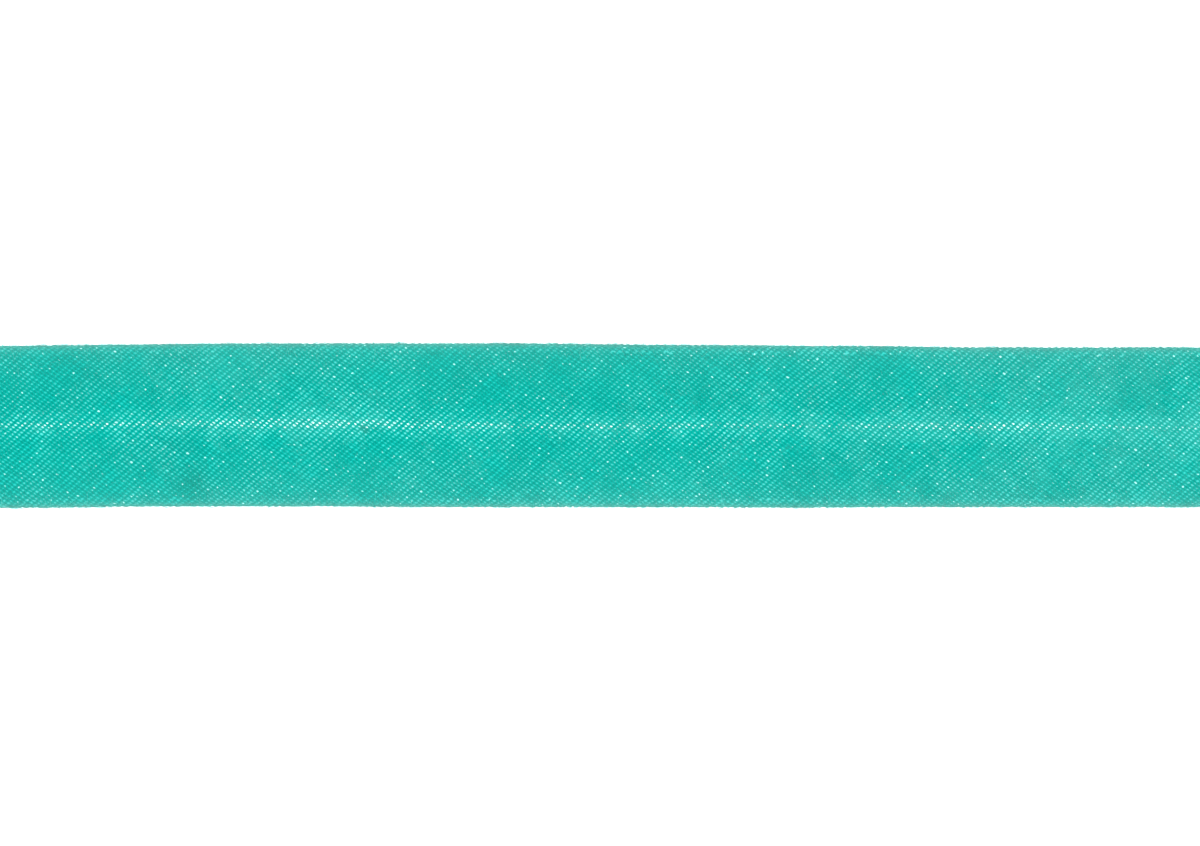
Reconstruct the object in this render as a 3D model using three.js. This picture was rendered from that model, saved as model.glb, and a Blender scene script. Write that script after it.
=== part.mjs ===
// A cut length of folded bias binding: one strip of plain-woven cotton, cut on the bias, with both long
// raw edges turned under so that they nearly meet below the middle. It lies flat, right side up.
//
// Millimetres, +X along the binding, +Z up. The origin is on the surface that it lies on, under the
// middle of its length and width.
import * as THREE from "three";

// Driving sizes.
const LENGTH = 160; // between the two square cut ends
const WIDTH = 20; // usual width, from fold to fold
const CLOTH = 1.0; // thickness of the strip
const LAYER_GAP = 0.3; // air between the upper layer and the turned-under flaps
const SAG_DEPTH = 0.15; // how far the upper layer sinks over the gap between the raw edges
const SAG_REACH = 1.6; // from the middle of that gap to where the upper layer is flat again

// Steps that turn arcs and the sag into flat faces.
const FOLD_STEPS = 16; // round the outside of a fold
const BORE_STEPS = 8; // round the inside of a fold
const SAG_STEPS = 8;

// Heights worked out from the driving sizes.
const HEIGHT = 2 * CLOTH + LAYER_GAP; // top of the upper layer
const CEILING = CLOTH + LAYER_GAP; // underside of the upper layer
const FOLD_RADIUS = HEIGHT / 2; // outside of each fold
const BORE_RADIUS = LAYER_GAP / 2; // inside of each fold

// The binding isn't quite even. Each row is a section across it, at equal steps along the length:
//   back  how much further out the back fold lies than half the usual width
//   front how much further out the front fold lies than half the usual width
//   seam  where the gap between the two raw edges has its middle, towards the back
//   gap   width of that gap
const SECTIONS = [
  { back: -0.2, front: 0.1, seam: 0.0, gap: 0.7 },
  { back: -0.1, front: 0.1, seam: 0.1, gap: 0.8 },
  { back: 0.0, front: 0.0, seam: 0.2, gap: 0.7 },
  { back: 0.1, front: -0.1, seam: 0.3, gap: 0.7 },
  { back: 0.2, front: -0.1, seam: 0.4, gap: 1.0 },
  { back: 0.2, front: -0.1, seam: 0.3, gap: 1.3 },
  { back: 0.2, front: -0.1, seam: 0.2, gap: 0.9 },
  { back: 0.2, front: 0.0, seam: 0.2, gap: 1.3 },
  { back: 0.2, front: 0.0, seam: 0.1, gap: 0.8 },
  { back: 0.2, front: 0.0, seam: 0.0, gap: 0.6 },
  { back: 0.1, front: 0.0, seam: 0.0, gap: 0.9 },
  { back: 0.0, front: 0.0, seam: 0.0, gap: 0.8 },
  { back: 0.0, front: 0.0, seam: 0.1, gap: 0.5 },
  { back: -0.1, front: 0.1, seam: 0.0, gap: 0.5 },
  { back: -0.1, front: 0.0, seam: -0.1, gap: 0.4 },
  { back: -0.2, front: 0.0, seam: 0.0, gap: 0.7 },
  { back: -0.3, front: 0.0, seam: -0.1, gap: 1.2 },
  { back: -0.3, front: 0.0, seam: 0.0, gap: 0.8 },
  { back: -0.3, front: 0.0, seam: -0.2, gap: 0.5 },
  { back: -0.3, front: 0.0, seam: -0.3, gap: 0.4 },
  { back: -0.4, front: 0.0, seam: -0.3, gap: 0.5 },
];

// Moves the middle line so that the box round the whole binding is centred on the origin.
const MIDDLE_LINE =
  (Math.max(...SECTIONS.map((s) => s.front)) - Math.max(...SECTIONS.map((s) => s.back))) / 2;

// Points of the soft trough over the gap, from the front to the back, sunk below the given height.
function sag(seam, height) {
  return Array.from({ length: SAG_STEPS + 1 }, (_, i) => {
    const across = -1 + (2 * i) / SAG_STEPS;
    const depth = (SAG_DEPTH * (1 + Math.cos(Math.PI * across))) / 2;
    return new THREE.Vector2(seam + across * SAG_REACH, height - depth);
  });
}

// Points of a half turn about the centre of a fold, from angle to angle, as the named radius.
function halfTurn(centre, radius, from, to, steps) {
  const arc = new THREE.EllipseCurve(centre, FOLD_RADIUS, radius, radius, from, to, to < from);
  return arc.getPoints(steps);
}

// The outline of one section in the Y-Z plane: out round the folds, and back along the inside.
function outline({ back, front, seam, gap }) {
  const up = Math.PI / 2;
  const seamY = MIDDLE_LINE + seam;
  const backFold = MIDDLE_LINE + WIDTH / 2 + back - FOLD_RADIUS;
  const frontFold = MIDDLE_LINE - WIDTH / 2 - front + FOLD_RADIUS;
  const backEdge = seamY + gap / 2;
  const frontEdge = seamY - gap / 2;
  return [
    new THREE.Vector2(backEdge, 0),
    ...halfTurn(backFold, FOLD_RADIUS, -up, up, FOLD_STEPS),
    ...sag(seamY, HEIGHT).reverse(),
    ...halfTurn(frontFold, FOLD_RADIUS, up, 3 * up, FOLD_STEPS),
    new THREE.Vector2(frontEdge, 0),
    new THREE.Vector2(frontEdge, CLOTH),
    ...halfTurn(frontFold, BORE_RADIUS, 3 * up, up, BORE_STEPS),
    ...sag(seamY, CEILING),
    ...halfTurn(backFold, BORE_RADIUS, up, -up, BORE_STEPS),
    new THREE.Vector2(backEdge, CLOTH),
  ];
}

// Joins the sections into one closed body, with a flat cut end on the first and the last.
function loft(sections) {
  const outlines = sections.map(outline);
  const around = outlines[0].length;
  const step = LENGTH / (sections.length - 1);
  const points = outlines.flatMap((ring, i) =>
    ring.flatMap((p) => [-LENGTH / 2 + i * step, p.x, p.y]),
  );
  const faces = [];
  for (let i = 0; i + 1 < sections.length; i++) {
    for (let j = 0; j < around; j++) {
      const here = i * around + j;
      const next = i * around + ((j + 1) % around);
      faces.push(here, next, next + around, here, next + around, here + around);
    }
  }
  const lastRing = (sections.length - 1) * around;
  for (const [a, b, c] of THREE.ShapeUtils.triangulateShape(outlines[0], [])) {
    faces.push(a, c, b);
  }
  for (const [a, b, c] of THREE.ShapeUtils.triangulateShape(outlines.at(-1), [])) {
    faces.push(lastRing + a, lastRing + b, lastRing + c);
  }
  const geometry = new THREE.BufferGeometry();
  geometry.setAttribute("position", new THREE.Float32BufferAttribute(points, 3));
  geometry.setIndex(faces);
  geometry.computeVertexNormals();
  return geometry;
}

// Dyed plain-weave cotton.
function cottonCloth() {
  return new THREE.MeshStandardMaterial({ color: 0x25bfb0, roughness: 0.9, metalness: 0 });
}

function bindingStrip() {
  const strip = new THREE.Mesh(loft(SECTIONS), cottonCloth());
  strip.name = "binding";
  return strip;
}

const part = new THREE.Group();
part.add(bindingStrip());

export default part;
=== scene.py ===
"""A length of folded bias binding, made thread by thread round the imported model, and its light.

The cloth is worked out flat. A point of it has two cloth coordinates in metres: x along the binding,
and v across the strip, which is y on the upper layer and runs on round each fold to the raw edge.
Threads are straight in these coordinates, apart from small strays, and place() folds them where the
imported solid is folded.
"""

import math

import bpy
import numpy as np
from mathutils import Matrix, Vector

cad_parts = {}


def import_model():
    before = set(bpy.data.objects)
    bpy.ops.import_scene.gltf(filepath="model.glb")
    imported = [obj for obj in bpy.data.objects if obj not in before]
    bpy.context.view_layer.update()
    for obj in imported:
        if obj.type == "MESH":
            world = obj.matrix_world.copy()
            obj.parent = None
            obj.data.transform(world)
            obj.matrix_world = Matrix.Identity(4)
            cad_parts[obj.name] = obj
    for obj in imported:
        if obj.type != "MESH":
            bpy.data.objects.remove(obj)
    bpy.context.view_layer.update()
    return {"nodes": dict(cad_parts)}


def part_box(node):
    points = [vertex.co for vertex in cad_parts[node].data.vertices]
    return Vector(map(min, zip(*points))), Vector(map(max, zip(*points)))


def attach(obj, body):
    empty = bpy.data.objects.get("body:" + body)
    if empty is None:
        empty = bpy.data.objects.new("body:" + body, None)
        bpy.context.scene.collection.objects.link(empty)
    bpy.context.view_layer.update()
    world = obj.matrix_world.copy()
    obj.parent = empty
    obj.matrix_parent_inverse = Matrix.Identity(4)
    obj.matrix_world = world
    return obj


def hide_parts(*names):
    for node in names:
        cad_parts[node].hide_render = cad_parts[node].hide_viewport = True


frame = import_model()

MM = 0.001
rng = np.random.default_rng(20)

# ---------------------------------------------------------------- the cloth

# Two sets of threads cross on the bias. For each set:
#   angle    the way that its threads run
#   spacing  from one thread to the next
#   width    of a thread, and thick, its thickness
#   lift     how far a thread rises over each second thread that it crosses, and dips below the others
#   pairing  how far each thread lies off its even place, to one side and the other in turn
#   crossing_shade  painted shade: how much darker the colour is where threads cross, lighter halfway
#       between
WEFT = {
    "angle": math.radians(41.1), "spacing": 0.617 * MM, "width": 0.35 * MM, "thick": 0.15 * MM,
    "lift": 0.042 * MM, "pairing": 0.0, "crossing_shade": 0.8,
}
WARP = {
    "angle": math.radians(-32.5), "spacing": 0.388 * MM, "width": 0.24 * MM, "thick": 0.13 * MM,
    "lift": 0.085 * MM, "pairing": 0.013 * MM, "crossing_shade": 0.35,
}
CLOTH = 2 * WARP["lift"] + WARP["thick"]  # thickness of one layer
NODE = "binding"


def unit(angle):
    return np.array([math.cos(angle), math.sin(angle)])


# From one crossing to the next: along a weft thread, and along a warp thread.
slant = math.sin(WEFT["angle"] - WARP["angle"])
ALONG_WEFT = unit(WEFT["angle"]) * WARP["spacing"] / slant
ALONG_WARP = unit(WARP["angle"]) * WEFT["spacing"] / slant

SECTION_STEP = 0.5 * MM  # between the places where the smoothed folds and edges are kept
SECTION_BLUR = 6  # how many of those steps wide the smoothing is
SAME_PLACE = 0.1 * MM  # points of the solid that are as near as this along it are in one section
ON_FLOOR = 0.01 * MM  # points of the solid that are lower than this are on its underside
PLACE_DIGITS = 5  # decimals of a metre that tell two sections apart
EDGE_DIGITS = 6  # decimals of a metre that tell two edges of a section apart


def smooth(values, reach):
    """values averaged over a bell of about that many steps, with the ends held."""
    bell = np.exp(-0.5 * (np.arange(-3 * reach, 3 * reach + 1) / reach) ** 2)
    padded = np.pad(values, 3 * reach, mode="edge")
    return np.convolve(padded, bell / bell.sum(), mode="valid")


def read_sections(node):
    """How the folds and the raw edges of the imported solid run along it, read from its mesh."""
    mesh = frame["nodes"][node].data
    points = np.array([vertex.co for vertex in mesh.vertices])
    places = np.unique(points[:, 0].round(PLACE_DIGITS))
    rows = []
    for place_x in places:
        ring = points[abs(points[:, 0] - place_x) < SAME_PLACE]
        below = np.unique(ring[ring[:, 2] < ON_FLOOR][:, 1].round(EDGE_DIGITS))
        front_edge, back_edge = below[1], below[-2]
        rows.append([ring[:, 1].min(), front_edge, back_edge, ring[:, 1].max()])
    x = np.arange(places[0], places[-1] + SECTION_STEP / 2, SECTION_STEP)
    lines = [smooth(np.interp(x, places, row), SECTION_BLUR) for row in np.transpose(rows)]
    front, front_edge, back_edge, back = lines
    return {"x": x, "front": front, "front_edge": front_edge, "back_edge": back_edge, "back": back}


def waves(count, longest, shortest):
    """Random plane waves over the cloth, as (wave numbers, phases), for ripple()."""
    lengths = np.geomspace(longest, shortest, count)
    turn = rng.uniform(0, 2 * math.pi, count)
    numbers = 2 * math.pi / lengths * np.stack([np.cos(turn), np.sin(turn)])
    return numbers.T, rng.uniform(0, 2 * math.pi, count)


def ripple(field, x, v):
    """A smooth random field of about unit size at points of the cloth."""
    numbers, phases = field
    total = 0
    for (number_x, number_v), phase in zip(numbers, phases):
        total = total + np.sin(number_x * x + number_v * v + phase)
    return total * math.sqrt(2 / len(phases))


low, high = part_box(NODE)
LENGTH = high.x - low.x
HEIGHT = high.z
sections = read_sections(NODE)
FOLD = (HEIGHT - CLOTH) / 2  # radius of the middle of the cloth round a fold
SAG = 0.15 * MM  # how far the upper layer sinks over the gap between the raw edges
SAG_REACH = 1.6 * MM  # from the middle of the gap to where the upper layer is flat again
GAP_BLUR = 0.7 * MM  # over what width the flaps stop backing the upper layer
# The raw edges use the first two of these. The others only keep the random draws in order.
edge_wobble = [waves(8, 9 * MM, 0.9 * MM) for _ in range(4)]
EDGE_WOBBLE = 0.06 * MM  # how far each raw edge strays from the solid's
WORN_BACK = 0.04 * MM  # how far each raw edge has worn back from the solid's
fold_wobble = [waves(6, 20 * MM, 2 * MM) for _ in range(2)]
FOLD_WOBBLE = 0.012 * MM  # how far each fold strays from the solid's
PROUD = 0.175 * MM  # how far the crests of the threads stand out of each fold of the solid
unevenness = waves(7, 30 * MM, 5 * MM)
UNEVENNESS = 0.04 * MM  # how far on average the upper layer lies below its flat height

# The cloth has painted glare, paler and greyer, where it turns round a fold: strongly near it, and
# faintly further out.
GLARE_NEAR = 2.0
NEAR_REACH = 0.41 * MM
GLARE_FAR = 0.27
FAR_REACH = 3 * MM

pale_patches = waves(12, 90 * MM, 4 * MM)
PALE_PATCH = 0.045  # how much paler a patch usually is
PALER_END = 0.12  # how much paler one end is than the other
# Painted light: the front fold is painted paler, as if more light came from the front.
FRONT_LIGHT = 0.4  # the share of that by which the front fold is paler than the back one
GLEAM_REACH = 1.3 * MM  # how far from the middle of the gap the light that comes through it is seen
openness = waves(9, 40 * MM, 3 * MM)
OPENNESS = 0.05  # how much narrower than usual the threads are where the weave is open


def along(name, x):
    return np.interp(x, sections["x"], sections[name])


def fold_lines(x):
    """Where each fold begins, as y on the upper layer: the front one and the back one."""
    inset = CLOTH / 2 + FOLD - PROUD
    front = along("front", x) + inset + FOLD_WOBBLE * ripple(fold_wobble[0], x, 0 * x)
    back = along("back", x) - inset + FOLD_WOBBLE * ripple(fold_wobble[1], x, 0 * x)
    return front, back


def raw_edges(x):
    """Cloth coordinate v of the two raw edges."""
    front, back = fold_lines(x)
    front_edge = along("front_edge", x) - WORN_BACK + EDGE_WOBBLE * ripple(edge_wobble[0], x, 0 * x)
    back_edge = along("back_edge", x) + WORN_BACK + EDGE_WOBBLE * ripple(edge_wobble[1], x, 0 * x)
    turn = math.pi * FOLD
    return 2 * front - turn - front_edge, 2 * back + turn - back_edge


def fold_glare(x, v):
    """How strong the painted glare is that makes the cloth paler and greyer: most where it turns round a
    fold.
    """
    front, back = fold_lines(x)
    quarter = math.pi / 2 * FOLD
    away = np.minimum(abs(v - front + quarter), abs(v - back - quarter))
    return (GLARE_NEAR * np.exp(-away / NEAR_REACH) + GLARE_FAR * np.exp(-away / FAR_REACH)).clip(0, 1)


def paleness_and_front_light(x, v):
    """How pale the cloth is: in soft patches, more towards one end, and more towards the front fold as
    painted light from the front.
    """
    slope = x / LENGTH - FRONT_LIGHT * v / (2 * high.y)
    return PALER_END * slope + PALE_PATCH * ripple(pale_patches, x, v)


def gleam(x, v):
    """How much light comes up through the gap between the raw edges: 1 over its middle."""
    middle = (along("front_edge", x) + along("back_edge", x)) / 2
    return np.exp(-(((v - middle) / GLEAM_REACH) ** 2))


def on_flap(x, v):
    """1 on the two flaps, and 0 on the upper layer."""
    front, back = fold_lines(x)
    return np.maximum(front - v, v - back) > math.pi / 2 * FOLD


def backed(x, v):
    """1 where a flap lies below the cloth, falling to 0 over the gap between the raw edges."""
    into_gap = np.minimum(v - along("front_edge", x), along("back_edge", x) - v)
    share = (into_gap / GAP_BLUR + 0.5).clip(0, 1)
    return 1 - share * share * (3 - 2 * share)


def place(x, v):
    """Folds points of the flat cloth.

    Gives their places, the way out of the cloth's right side, and the way that v runs.
    """
    front, back = fold_lines(x)
    middle = (along("front_edge", x) + along("back_edge", x)) / 2
    past_front = (front - v).clip(0)
    past_back = (v - back).clip(0)
    side = np.where(v > 0, 1.0, -1.0)
    past = past_front + past_back
    angle = (past / FOLD).clip(0, math.pi)
    under = (past - math.pi * FOLD).clip(0)
    y = v.clip(front, back) + side * (FOLD * np.sin(angle) - under)
    trough = (1 + np.cos(math.pi * ((y - middle) / SAG_REACH).clip(-1, 1))) / 2
    dip = SAG * trough + UNEVENNESS * (1 + ripple(unevenness, x, v))
    z = HEIGHT / 2 + FOLD * np.cos(angle) - dip * (past == 0)
    out = np.stack([0 * x, side * np.sin(angle), np.cos(angle)], 1)
    run = np.stack([0 * x, np.cos(angle), -side * np.sin(angle)], 1)
    return np.stack([x, y, z], 1), out, run


# ---------------------------------------------------------------- meshes


def make_mesh(name, points, faces):
    mesh = bpy.data.meshes.new(name)
    mesh.from_pydata(points, [], faces)
    mesh.polygons.foreach_set("use_smooth", np.ones(len(mesh.polygons), bool))
    return mesh


def tube_faces(rings, sides):
    """The faces of tubes of so many sides, from each of these rings of points to the next one."""
    side = np.arange(sides)
    after = (side + 1) % sides
    near = rings[:, None] * sides
    far = near + sides
    return np.stack([near + side, near + after, far + after, far + side], 2).reshape(-1, 4)


def corner_points(mesh):
    """The number of the point at each corner of each face."""
    corner = np.empty(len(mesh.loops), np.int32)
    mesh.loops.foreach_get("vertex_index", corner)
    return corner


def add_map(mesh, name, flat):
    """A UV map, from one row for each corner of each face."""
    mesh.uv_layers.new(name=name).uv.foreach_set("vector", flat.astype(np.float32).ravel())


def add_attribute(mesh, name, values):
    layer = mesh.attributes.new(name, "FLOAT", "POINT")
    layer.data.foreach_set("value", values.astype(np.float32))


def finish_piece(name, mesh, material):
    piece = bpy.data.objects.new(name, mesh)
    bpy.context.scene.collection.objects.link(piece)
    mesh.materials.append(material)
    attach(piece, "root")
    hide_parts(NODE)
    return piece


# ---------------------------------------------------------------- the threads

SIDES = 6  # round a thread
LEAST_CROSSINGS = 2  # a shorter snip of thread falls out of the cloth
STRIP_REACH = 24 * MM  # a little more than half the width of the flat strip
FINE = 12  # steps from one crossing to the next, when a thread's ends are looked for
END_CLEAR = 0.2  # least share of a crossing between an end of a thread and the ring next to it
FRAY = 0.07 * MM  # how far on average a cut thread stands out of the edge of the cloth
FRAY_MARGIN = 2 * MM  # added to the strip's flat size, so that the frayed ends are within it
drift = [waves(8, 60 * MM, 8 * MM) for _ in range(2)]
DRIFT = 0.05 * MM  # how far the whole weave strays from a straight one
end_wobble = [waves(8, 12 * MM, 1 * MM) for _ in range(2)]
END_WOBBLE = 0.08 * MM  # how far each cut end strays from a straight cut

# How uneven the threads are: how far they stray sideways, the power of e in their size, and their
# lightness. For each: how much one thread differs from the next, how much a thread changes along itself,
# and the longest and shortest waves of that change.
STRAY = {"each": 0.008 * MM, "along": 0.010 * MM, "longest": 20 * MM, "shortest": 2 * MM}
SIZE = {"each": 0.05, "along": 0.06, "longest": 25 * MM, "shortest": 2 * MM}
TONE = {"each": 0.55, "along": 0.45, "longest": 30 * MM, "shortest": 3 * MM}
YARN_WAVES = 5  # how many waves that change is made of
RING_STRAY = 0.008 * MM  # how far one ring of a thread strays from the next
RING_SIZE = 0.04  # how much wider or narrower one ring is than the next
SLUB_SHARE = 0.004  # the share of rings that are the middle of a thick place
SLUB_REACH = 2.5  # how far a thick place reaches from its middle, in crossings
SLUB_SWELL = 0.3  # the power of e by which it is thicker there

# Thickened places in the threads. swell is the power of e by which a thread is thicker there, and the
# share of the knot's own colour in it.
KNOTS = [
    {"x": -29.3 * MM, "v": -0.45 * MM, "reach": 0.35 * MM, "swell": 0.95},
    {"x": 3.6 * MM, "v": -3.9 * MM, "reach": 0.24 * MM, "swell": 0.3},
    {"x": -50.5 * MM, "v": -7.2 * MM, "reach": 1.9 * MM, "swell": 0.16},
]


def inside(x, v):
    """Whether points are within the raw edges and the cut ends."""
    front, back = raw_edges(x)
    start = -LENGTH / 2 + END_WOBBLE * (ripple(end_wobble[0], 0 * v, v) + 1)
    stop = LENGTH / 2 - END_WOBBLE * (ripple(end_wobble[1], 0 * v, v) + 1)
    return (x >= start) & (x <= stop) & (v >= front) & (v <= back)


def run_threads(own, cross):
    """The threads of one set, with own from one to the next, and cross from one crossing to the next.

    Gives for each ring of each thread its thread's number, its place along it counted in crossings, and
    whether another ring of the same thread follows.
    """
    half = STRIP_REACH / abs(cross[1])
    apart = own[0] - own[1] * cross[0] / cross[1]
    most = int((LENGTH / 2 + STRIP_REACH / abs(cross[1] / cross[0])) / apart) + 1
    number, at, follows = [], [], []
    for n in range(-most, most + 1):
        middle = -n * own[1] / cross[1]
        steps = np.arange(middle - half, middle + half, 1 / FINE)
        x, v = n * own[:, None] + steps * cross[:, None]
        held = np.flatnonzero(inside(x, v))
        if len(held) < FINE * LEAST_CROSSINGS:
            continue
        fray = rng.exponential(FRAY, 2) / np.linalg.norm(cross)
        first, last = steps[held[0]] - fray[0], steps[held[-1]] + fray[1]
        rings = np.arange(math.ceil(first + END_CLEAR), math.floor(last - END_CLEAR) + 1)
        rings = np.concatenate([[first], rings, [last]])
        number.append(np.full(len(rings), n))
        at.append(rings)
        follows.append(np.arange(len(rings)) < len(rings) - 1)
    return np.concatenate(number), np.concatenate(at), np.concatenate(follows)


def uneven(number, length, kind):
    """A random value that differs from thread to thread, and changes slowly along each thread."""
    kept, which = np.unique(number, return_inverse=True)
    total = rng.normal(0, kind["each"], len(kept))[which]
    lengths = np.geomspace(kind["longest"], kind["shortest"], YARN_WAVES)
    size = kind["along"] * math.sqrt(2 / YARN_WAVES)
    for wave in lengths:
        phase = rng.uniform(0, 2 * math.pi, len(kept))[which]
        total = total + size * np.sin(2 * math.pi * length / wave + phase)
    return total


def slubs(number, at):
    """1 at the middle of a few thick places, and 0 away from them."""
    swell = np.zeros(len(at))
    for ring in np.flatnonzero(rng.random(len(at)) < SLUB_SHARE):
        near = number == number[ring]
        swell[near] += np.exp(-(((at[near] - at[ring]) / SLUB_REACH) ** 2))
    return swell.clip(0, 1)


def knots(x, v):
    """The swell of the knots at points of the cloth."""
    total = 0
    for knot in KNOTS:
        squared = (x - knot["x"]) ** 2 + (v - knot["v"]) ** 2
        total = total + knot["swell"] * np.exp(-squared / knot["reach"] ** 2)
    return total


def weave(kind, own, cross, over):
    """Places every ring of one set of threads.

    over is 1 for the set that goes over where the sum of the two threads' numbers is even, and -1 for
    the other.
    """
    number, at, follows = run_threads(own, cross)
    way = unit(kind["angle"])
    square = np.array([-way[1], way[0]])
    length = at * np.linalg.norm(cross)
    stray = uneven(number, length, STRAY) + rng.normal(0, RING_STRAY, len(at))
    stray = stray + kind["pairing"] * (-1.0) ** number
    x, v = (number[:, None] * own + at[:, None] * cross + stray[:, None] * square).T
    x, v = x + DRIFT * ripple(drift[0], x, v), v + DRIFT * ripple(drift[1], x, v)
    swell = SLUB_SWELL * slubs(number, at)
    knot = knots(x, v)
    size = np.exp(uneven(number, length, SIZE) - OPENNESS * ripple(openness, x, v) + swell + knot)
    width = kind["width"] * size * (1 + rng.normal(0, RING_SIZE, len(at)))
    thick = kind["thick"] * np.sqrt(size)
    lift = kind["lift"] * over * np.cos(math.pi * (at + number))
    centre, out, run = place(x, v)
    across = square[0] * np.array([1.0, 0, 0]) + square[1] * run
    angle = 2 * math.pi * np.arange(SIDES) / SIDES
    aside = width[:, None] / 2 * np.cos(angle)
    above = lift[:, None] + thick[:, None] / 2 * np.sin(angle)
    points = centre[:, None] + aside[:, :, None] * across[:, None] + above[:, :, None] * out[:, None]
    looks = {
        "tone": uneven(number, length, TONE), "knot": knot, "step": at,
        "fold_glare": fold_glare(x, v), "paleness_and_front_light": paleness_and_front_light(x, v), "gleam": gleam(x, v),
    }
    return {
        "number": number, "follows": follows, "points": points, "length": length, "v": v, "looks": looks,
        "flat": np.stack([x, v], 1)[:, None] + aside[:, :, None] * square,
    }


def thread_piece(name, threads, shed, half_cut, material):
    """A mesh of every second thread of a set, each a closed tube."""
    rings = np.flatnonzero(threads["number"] % 2 == shed)
    follows = threads["follows"][rings]
    quads = tube_faces(np.flatnonzero(follows), SIDES)
    side = np.arange(SIDES)
    ends = np.flatnonzero(~follows)
    begins = np.concatenate([[0], ends[:-1] + 1])
    caps = [*(begins[:, None] * SIDES + side[::-1]).tolist(), *(ends[:, None] * SIDES + side).tolist()]
    mesh = make_mesh(name, threads["points"][rings].reshape(-1, 3), [*quads.tolist(), *caps])
    corner = corner_points(mesh)

    # One map follows the fibres: millimetres along the thread, and turns round it.
    turns = np.tile(side / SIDES, len(rings))[corner]
    count = np.arange(len(corner))
    closing = (count < quads.size) & np.isin(count % 4, (1, 2)) & (turns == 0)
    lengths = np.repeat(threads["length"][rings] / MM, SIDES)[corner]
    add_map(mesh, "fibre", np.stack([lengths, turns + closing], 1))

    # The other is the flat cloth, as the baked export needs it, with a margin for the frayed ends.
    whole = np.array([LENGTH, 2 * half_cut]) + FRAY_MARGIN
    flat = threads["flat"][rings].reshape(-1, 2) / whole + 0.5
    add_map(mesh, "OFBake", flat[corner].clip(0, 1))
    for key, values in threads["looks"].items():
        add_attribute(mesh, key, np.repeat(values[rings], SIDES))
    mesh.validate()
    return finish_piece(name, mesh, material)


# ---------------------------------------------------------------- the short fibres between the threads

FILM_ROWS, FILM_COLUMNS = 321, 193  # points along and across the film
FILM_INSET = 0.2 * MM  # from each cut end to the film


def ground_piece(name, half_cut, material):
    """A thin film through the middle of the cloth, for the short fibres that bridge its pores."""
    xs = np.linspace(-LENGTH / 2 + FILM_INSET, LENGTH / 2 - FILM_INSET, FILM_ROWS)
    front, back = raw_edges(xs)
    x = np.repeat(xs, FILM_COLUMNS)
    v = (front[:, None] + (back - front)[:, None] * np.linspace(0, 1, FILM_COLUMNS)).ravel()
    points, _, _ = place(x, v)
    first = np.arange(FILM_ROWS - 1)[:, None] * FILM_COLUMNS + np.arange(FILM_COLUMNS - 1)
    next_row = first + FILM_COLUMNS
    faces = np.stack([first, next_row, next_row + 1, first + 1], 2).reshape(-1, 4)
    mesh = make_mesh(name, points, faces.tolist())
    corner = corner_points(mesh)
    add_map(mesh, "cloth", np.stack([x / MM, v / MM], 1)[corner])
    add_map(mesh, "OFBake", np.stack([x / LENGTH + 0.5, v / (2 * half_cut) + 0.5], 1)[corner].clip(0, 1))
    looks = {"fold_glare": fold_glare, "paleness_and_front_light": paleness_and_front_light, "gleam": gleam, "backed": backed, "flap": on_flap}
    for key, look in looks.items():
        add_attribute(mesh, key, look(x, v))
    return finish_piece(name, mesh, material)


# ---------------------------------------------------------------- loose fibres

# How many loose fibres stand out of the cloth: round the folds, along the raw edges, on the rest of the
# right side, and at the cut ends.
FOLD_FIBRES, EDGE_FIBRES, FACE_FIBRES, END_FIBRES = 8600, 1000, 600, 400
FIBRE = 0.024 * MM  # how thick a fibre is
FIBRE_RINGS = 4
FIBRE_SIDES = 3
FOLD_SPREAD = 0.4 * MM  # how far from the outermost line of a fold its fibres usually grow

# Random sizes: each is the first value and a random amount, which is the second value on average and
# never more than the third.
FIBRE_LENGTH = (0.3 * MM, 0.35 * MM, 1.5 * MM)
FIBRE_HEIGHT = (0.08 * MM, 0.16 * MM, 0.5 * MM)
CURL = 1.2  # how far a fibre usually turns from its root to its tip, in radians
LOOPED = 0.6  # the share of fibres whose tip comes down to the cloth again
ROOT = 0.42  # how far above the middle of the cloth they grow, as a share of its thickness
TINY = 1e-9  # keeps a division by a length from failing
SQUARE_MARGIN = 0.1  # round each fibre's square on its map, as a share of the square


def varied(sizes, count):
    least, average, most = sizes
    return least + rng.exponential(average, count).clip(0, most)


def fibre_roots():
    """Where the loose fibres grow, in cloth coordinates."""
    count = FOLD_FIBRES + EDGE_FIBRES + FACE_FIBRES + END_FIBRES
    to_back = rng.random(count) < 0.5
    x = rng.uniform(-0.5, 0.5, count) * LENGTH
    x[-END_FIBRES:] = np.where(to_back, -0.5, 0.5)[-END_FIBRES:] * LENGTH
    front, back = fold_lines(x)
    front_edge, back_edge = raw_edges(x)
    quarter = math.pi / 2 * FOLD
    v = front_edge + (back_edge - front_edge) * rng.random(count)
    on_fold = np.where(to_back, back + quarter, front - quarter) + rng.normal(0, FOLD_SPREAD, count)
    v[:FOLD_FIBRES] = on_fold[:FOLD_FIBRES]
    along_edge = slice(FOLD_FIBRES, FOLD_FIBRES + EDGE_FIBRES)
    v[along_edge] = np.where(to_back, back_edge, front_edge)[along_edge]
    return x, v


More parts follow.
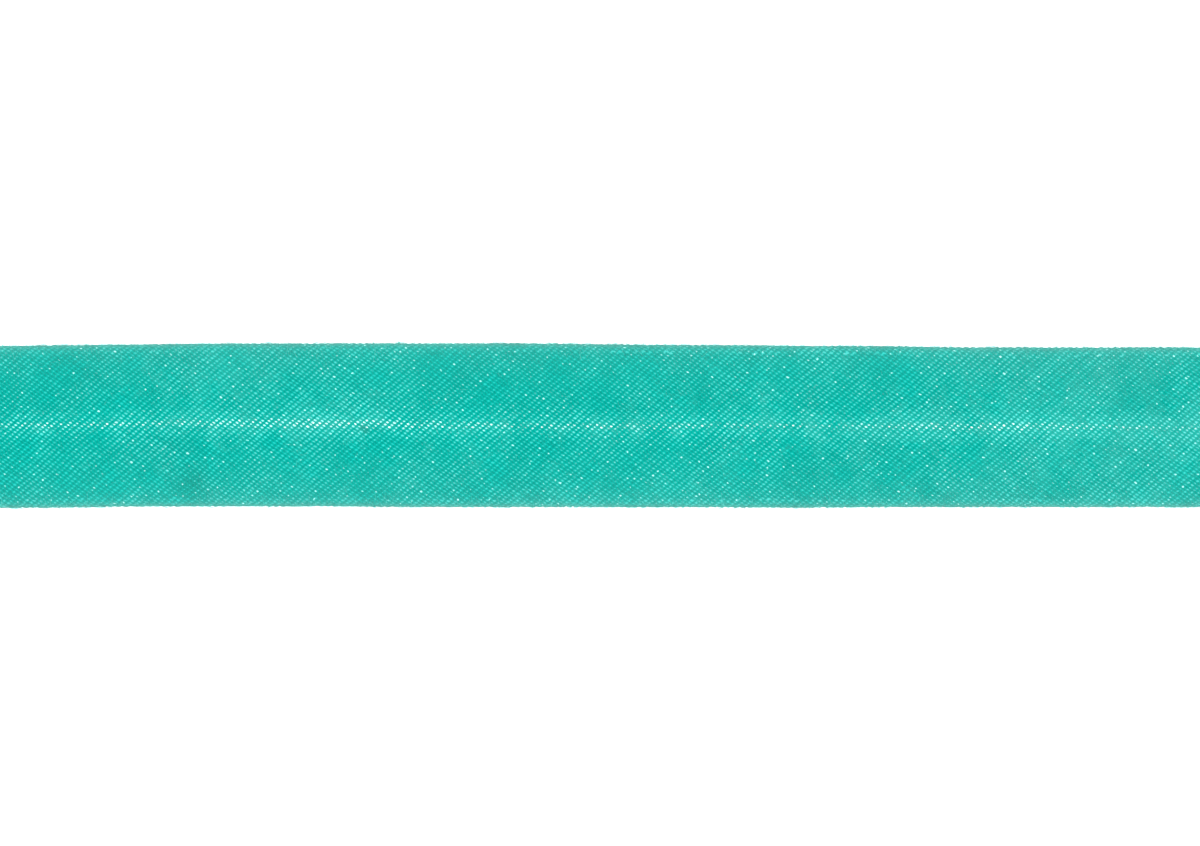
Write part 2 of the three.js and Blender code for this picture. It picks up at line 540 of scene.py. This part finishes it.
def fibre_paths():
    """The points of each fibre, and the way out of the cloth there."""
    x, v = fibre_roots()
    count = len(x)
    share = np.linspace(0, 1, FIBRE_RINGS)
    step = varied(FIBRE_LENGTH, count)[:, None] / (FIBRE_RINGS - 1)
    heading = rng.uniform(0, 2 * math.pi, count)[:, None] + rng.normal(0, CURL, count)[:, None] * share
    x = x[:, None] + step * np.cumsum(np.cos(heading), 1)
    v = v[:, None] + step * np.cumsum(np.sin(heading), 1)
    centre, out, _ = place(x.ravel(), v.ravel())
    looped = rng.random(count)[:, None] < LOOPED
    height = varied(FIBRE_HEIGHT, count)[:, None]
    stands = np.where(looped, np.sin(math.pi * share), share) * height + ROOT * CLOTH
    path = centre + out * stands.ravel()[:, None]
    return path.reshape(count, FIBRE_RINGS, 3), out.reshape(count, FIBRE_RINGS, 3)


def fibre_squares(count):
    """A map for the baked export, with a square for each fibre."""
    squares = math.ceil(math.sqrt(count))
    tubes = FIBRE_RINGS - 1
    number = np.repeat(np.arange(count), tubes * FIBRE_SIDES * 4)
    ring = np.repeat(np.tile(np.arange(tubes), count), FIBRE_SIDES * 4)
    side = np.tile(np.repeat(np.arange(FIBRE_SIDES), 4), count * tubes)
    corner = np.arange(len(number)) % 4
    right = (ring + (corner > 1)) / FIBRE_RINGS + SQUARE_MARGIN
    up = (side + ((corner == 1) | (corner == 2))) / (FIBRE_SIDES + 1) + SQUARE_MARGIN
    return np.stack([number % squares + right, number // squares + up], 1) / squares


def fibre_piece(name, material):
    """Short curled fibres that lie over the cloth and stand a little out of it, some of them looped."""
    path, out = fibre_paths()
    count = len(path)
    beside = np.cross(np.gradient(path, axis=1), out)
    beside /= np.linalg.norm(beside, axis=2, keepdims=True) + TINY
    angle = 2 * math.pi * np.arange(FIBRE_SIDES) / FIBRE_SIDES
    ring = np.cos(angle)[:, None] * beside[:, :, None] + np.sin(angle)[:, None] * out[:, :, None]
    points = (path[:, :, None] + FIBRE / 2 * ring).reshape(-1, 3)
    points[:, 2] = points[:, 2].clip(0)
    rings = np.arange(count)[:, None] * FIBRE_RINGS + np.arange(FIBRE_RINGS - 1)
    mesh = make_mesh(name, points, tube_faces(rings.ravel(), FIBRE_SIDES).tolist())
    add_map(mesh, "OFBake", fibre_squares(count))
    return finish_piece(name, mesh, material)


# ---------------------------------------------------------------- materials


class Nodes:
    """A short way to write a material's nodes."""

    def __init__(self, name):
        self.material = bpy.data.materials.new(name)
        self.material.use_nodes = True
        self.tree = self.material.node_tree
        self.tree.nodes.clear()

    def add(self, kind, settings=(), **inputs):
        """A node of that kind.

        Inputs are values, or sockets to link. An input is named with _ for each space, or is _ and the
        input's number.
        """
        node = self.tree.nodes.new(kind)
        for key, value in dict(settings).items():
            setattr(node, key, value)
        for key, value in inputs.items():
            socket = node.inputs[int(key[1:])] if key[0] == "_" else node.inputs[key.replace("_", " ")]
            if isinstance(value, bpy.types.NodeSocket):
                self.tree.links.new(value, socket)
            else:
                socket.default_value = value
        return node

    def maths(self, operation, a, b=0.0, c=0.0):
        return self.add("ShaderNodeMath", {"operation": operation}, _0=a, _1=b, _2=c).outputs[0]

    def sum(self, start, *terms):
        """start and the terms added up, each term a value and the share of it that counts."""
        for value, share in terms:
            start = self.maths("MULTIPLY_ADD", value, share, start)
        return start

    def blend(self, share, a, b):
        """A colour between a and b."""
        node = self.add("ShaderNodeMix", {"data_type": "RGBA"}, _0=share, _6=a, _7=b)
        return node.outputs[2]

    def noise(self, where, scale, detail):
        return self.add("ShaderNodeTexNoise", Vector=where, Scale=scale, Detail=detail).outputs[0]

    def ramp(self, value, start, stop, low=0.0, high=1.0):
        """low where value is up to start, high from stop on, and evenly between them."""
        node = self.add(
            "ShaderNodeMapRange", Value=value, From_Min=start, From_Max=stop, To_Min=low, To_Max=high
        )
        return node.outputs[0]

    def attribute(self, name):
        return self.add("ShaderNodeAttribute", {"attribute_name": name}).outputs["Fac"]

    def uv(self, name):
        return self.add("ShaderNodeUVMap", {"uv_map": name}).outputs[0]

    def position(self):
        """The place on the piece, in metres."""
        return self.add("ShaderNodeTexCoord").outputs["Object"]

    def mix(self, share, a, b):
        """A shader between a and b."""
        return self.add("ShaderNodeMixShader", _0=share, _1=a, _2=b).outputs[0]

    def diffuse(self, colour):
        return self.add("ShaderNodeBsdfDiffuse", Color=colour).outputs[0]

    def translucent(self, colour):
        return self.add("ShaderNodeBsdfTranslucent", Color=colour).outputs[0]

    def end(self, shader):
        self.add("ShaderNodeOutputMaterial", Surface=shader)
        return self.material


# The colour of a thread, at its deepest and its lightest, which also carry painted shade where threads
# cross and painted light over the gap; where it is paler, partly with painted light from the front; with
# painted glare round the folds; and at a knot.
DEEP = (0.0002, 0.239, 0.202, 1)
LIGHT = (0.002, 0.443, 0.378, 1)
PALE_AND_LIT = (0.14, 0.50, 0.46, 1)
GLARE = (0.17, 0.36, 0.33, 1)
KNOT = (0.033, 0.23, 0.175, 1)
# The light that comes through a thread, and through one with painted glare round a fold.
GLOW = (0.004, 0.785, 0.70, 1)
GLARE_GLOW = (0.08, 0.73, 0.66, 1)
# The short fibres in the pores: as usual, where the cloth is pale, with painted glare round the folds, in
# the white flecks, which are painted highlights for glints and light shining through both layers, and the
# light that comes through them.
FUZZ = (0.006, 0.655, 0.586, 1)
PALE_FUZZ = (0.14, 0.79, 0.75, 1)
GLARE_FUZZ = (0.15, 0.60, 0.555, 1)
PAINTED_GLINT = (0.48, 1.0, 0.99, 1)
FUZZ_GLOW = (0.22, 0.96, 0.92, 1)
# The loose fibres.
FIBRE_DEEP = (0.05, 0.54, 0.48, 1)
FIBRE_PALE = (0.30, 0.88, 0.83, 1)
# The share of its light that comes from behind: of a thread, the short fibres and a loose fibre.
THROUGH = 0.37
FUZZ_THROUGH = 0.3
FIBRE_THROUGH = 0.5
WHITE = (1, 1, 1, 1)
TABLE_WHITE = (0.9, 0.9, 0.9, 1)
TABLE_GLOW = 1.5  # how strongly the table shines
# How many bumps of its strands a thread has: for each millimetre along it, and once round it.
STRANDS = (5.0, 9.0, 1.0)
STRAND_RELIEF = 0.03 * MM  # how high they are
# How many random patches there are to a metre of a thread, and finer ones of a thread or a loose fibre.
BLOTCHES = 150.0
MOTTLES = 900.0
# How many there are to a millimetre of the film: wide ones, pores and flecks.
REGIONS = 0.2
PORES = 2.4
FLECKS = 1.9
# How the film's random patches are read, by Nodes.ramp(): where there is a white fleck of painted
# highlight, how much the short fibres cover as usual and over the gap between the raw edges, and where
# they are pale.
IN_FLECK = {"start": 0.705, "stop": 0.75}
COVER = {"start": 0.70, "stop": 0.82, "low": 0.88, "high": 0.65}
COVER_OVER_GAP = {"start": 0.42, "stop": 0.72, "low": 0.80, "high": 0.27}
PALE = {"start": 0.35, "stop": 0.75}
# How strongly the painted glare round the folds shows on a thread, and how quickly it fades out. How
# strongly it shows on the film.
GLARE_SHARE = 0.75
GLARE_POWER = 1.1
FUZZ_GLARE_SHARE = 0.9


def thread_material(name, crossing_shade):
    """Dyed cotton yarn, with painted shade where it crosses another thread."""
    nodes = Nodes(name)
    tone = nodes.attribute("tone")
    glint = nodes.attribute("gleam")
    pale_and_lit_here = nodes.attribute("paleness_and_front_light")
    knot = nodes.attribute("knot")
    crossing = nodes.maths("COSINE", nodes.maths("MULTIPLY", nodes.attribute("step"), 2 * math.pi))
    blotch = nodes.noise(nodes.position(), BLOTCHES, 2.0)
    # Painted shade: darker where threads cross and lighter halfway between. The gleam paints light over
    # the gap.
    lightness = nodes.sum(0.22, (blotch, 0.45), (tone, 0.055), (glint, 0.25), (crossing, -crossing_shade))
    mottle = nodes.noise(nodes.position(), MOTTLES, 1.0)
    # Painted light: paler towards the front fold and over the gap.
    paleness = nodes.sum(-0.12, (mottle, 0.24), (tone, 0.034), (pale_and_lit_here, 0.8), (glint, 0.06))
    # Painted glare: paler and greyer where the cloth turns round a fold.
    glare_here = nodes.maths("POWER", nodes.attribute("fold_glare"), GLARE_POWER)
    glare_here = nodes.maths("MULTIPLY", glare_here, GLARE_SHARE)
    colour = nodes.blend(paleness, nodes.blend(lightness, DEEP, LIGHT), PALE_AND_LIT)
    colour = nodes.blend(knot, nodes.blend(glare_here, colour, GLARE), KNOT)
    drawn = nodes.add("ShaderNodeMapping", Vector=nodes.uv("fibre"), Scale=STRANDS).outputs[0]
    strand = nodes.noise(drawn, 1.0, 2.0)
    bump = nodes.add("ShaderNodeBump", Height=strand, Strength=0.5, Distance=STRAND_RELIEF).outputs[0]
    face = nodes.add(
        "ShaderNodeBsdfPrincipled", Base_Color=colour, Roughness=0.85, Specular_IOR_Level=0.005,
        Sheen_Weight=0.005, Sheen_Roughness=0.5, Normal=bump,
    ).outputs[0]
    # The light through the thread also takes the painted glare round the folds.
    glow = nodes.blend(knot, nodes.blend(glare_here, GLOW, GLARE_GLOW), KNOT)
    behind = nodes.add("ShaderNodeBsdfTranslucent", Color=glow, Normal=bump).outputs[0]
    return nodes.end(nodes.mix(THROUGH, face, behind))


def ground_material():
    """Short fibres that fill most pores, let the light through some, and are painted white in a few
    flecks as painted highlights.
    """
    nodes = Nodes("teal_fuzz")
    cloth = nodes.uv("cloth")
    region = nodes.noise(cloth, REGIONS, 3.0)
    pore = nodes.noise(cloth, PORES, 0.0)
    fleck = nodes.ramp(nodes.noise(cloth, FLECKS, 0.0), **IN_FLECK)
    cover = nodes.ramp(nodes.sum(0.0, (pore, 0.8), (region, 0.5)), **COVER)
    cover = nodes.maths("MAXIMUM", nodes.maths("MAXIMUM", cover, fleck), nodes.attribute("flap"))
    over_gap = nodes.ramp(pore, **COVER_OVER_GAP)
    cover = nodes.add("ShaderNodeMix", _0=nodes.attribute("backed"), _2=over_gap, _3=cover).outputs[0]
    pale_and_lit_here = nodes.attribute("paleness_and_front_light")
    glint = nodes.attribute("gleam")
    # Painted light: the short fibres are paler towards the front fold and over the gap.
    pale = nodes.sum(nodes.ramp(region, **PALE), (pale_and_lit_here, 1.8), (glint, 1.1))
    colour = nodes.blend(pale, FUZZ, PALE_FUZZ)
    # Painted glare: the short fibres are paler and greyer where the cloth turns round a fold.
    glare_here = nodes.maths("MULTIPLY", nodes.attribute("fold_glare"), FUZZ_GLARE_SHARE)
    colour = nodes.blend(glare_here, colour, GLARE_FUZZ)
    # Painted highlight: white flecks for glints and light shining through both layers.
    colour = nodes.blend(fleck, colour, PAINTED_GLINT)
    fibres = nodes.mix(FUZZ_THROUGH, nodes.diffuse(colour), nodes.translucent(FUZZ_GLOW))
    return nodes.end(nodes.mix(cover, nodes.add("ShaderNodeBsdfTransparent").outputs[0], fibres))


def fibre_material():
    nodes = Nodes("teal_fibre")
    colour = nodes.blend(nodes.noise(nodes.position(), MOTTLES, 1.0), FIBRE_DEEP, FIBRE_PALE)
    return nodes.end(nodes.mix(FIBRE_THROUGH, nodes.diffuse(colour), nodes.translucent(colour)))


def table_material():
    nodes = Nodes("white_table")
    face = nodes.add(
        "ShaderNodeBsdfPrincipled", Base_Color=TABLE_WHITE, Roughness=0.7, Emission_Color=WHITE,
        Emission_Strength=TABLE_GLOW,
    )
    return nodes.end(face.outputs[0])


# ---------------------------------------------------------------- build

weft = weave(WEFT, ALONG_WARP, ALONG_WEFT, 1)
warp = weave(WARP, ALONG_WEFT, ALONG_WARP, -1)
half_cut = max(abs(weft["v"]).max(), abs(warp["v"]).max())  # half the width that the strip was cut to
yarns = [
    thread_piece(f"{name}_{word}", threads, shed, half_cut, material)
    for name, threads, material in (
        ("weft", weft, thread_material("weft_cotton", WEFT["crossing_shade"])),
        ("warp", warp, thread_material("warp_cotton", WARP["crossing_shade"])),
    )
    for shed, word in ((0, "even"), (1, "odd"))
]
ground = ground_piece("ground", half_cut, ground_material())
fibres = fibre_piece("fibres", fibre_material())

# ---------------------------------------------------------------- table, light and camera

TABLE_HALF = 1.5  # half the width of the table
TABLE_DROP = 0.02 * MM  # from the underside of the binding down to the table
LIGHTS = [
    {"name": "key", "place_at": (0.1, 0.5, 0.8), "size": 0.8, "power": 3.4},
    {"name": "fill", "place_at": (-0.2, -0.6, 0.9), "size": 0.8, "power": 5.5},
]
SKY = 1.42  # the strength of the white light from all round
VIEW_LENGTH = 149 * MM  # how much of the binding the picture spans
VIEW_UP = 0.33 * MM  # the picture's middle lies a little towards the back
LENS = 110.0
NEAREST = 1 / 20  # how near and how far the camera sees, in distances from it to the binding
FURTHEST = 100


def table():
    corners = [(-1, -1), (1, -1), (1, 1), (-1, 1)]
    points = [(TABLE_HALF * right, TABLE_HALF * back, -TABLE_DROP) for right, back in corners]
    mesh = bpy.data.meshes.new("table")
    mesh.from_pydata(points, [], [(0, 1, 2, 3)])
    mesh.materials.append(table_material())
    piece = bpy.data.objects.new("table", mesh)
    bpy.context.scene.collection.objects.link(piece)


def softbox(name, place_at, size, power):
    """A square light aimed at the middle of the binding."""
    data = bpy.data.lights.new(name, "AREA")
    data.size = size
    data.energy = power
    light = bpy.data.objects.new(name, data)
    light.location = place_at
    light.rotation_euler = (-light.location).to_track_quat("-Z", "Y").to_euler()
    bpy.context.scene.collection.objects.link(light)


def camera():
    """A camera that looks straight down."""
    data = bpy.data.cameras.new("camera")
    data.lens = LENS
    distance = VIEW_LENGTH * LENS / data.sensor_width
    data.clip_start = NEAREST * distance
    data.clip_end = FURTHEST * distance
    viewer = bpy.data.objects.new("camera", data)
    viewer.location = (0, VIEW_UP, HEIGHT + distance)
    bpy.context.scene.collection.objects.link(viewer)
    bpy.context.scene.camera = viewer


def world():
    air = bpy.data.worlds.new("air")
    air.use_nodes = True
    sky = air.node_tree.nodes["Background"]
    sky.inputs["Color"].default_value = WHITE
    sky.inputs["Strength"].default_value = SKY
    bpy.context.scene.world = air


table()
for row in LIGHTS:
    softbox(**row)
world()
camera()
bpy.context.scene.view_settings.view_transform = "Standard"
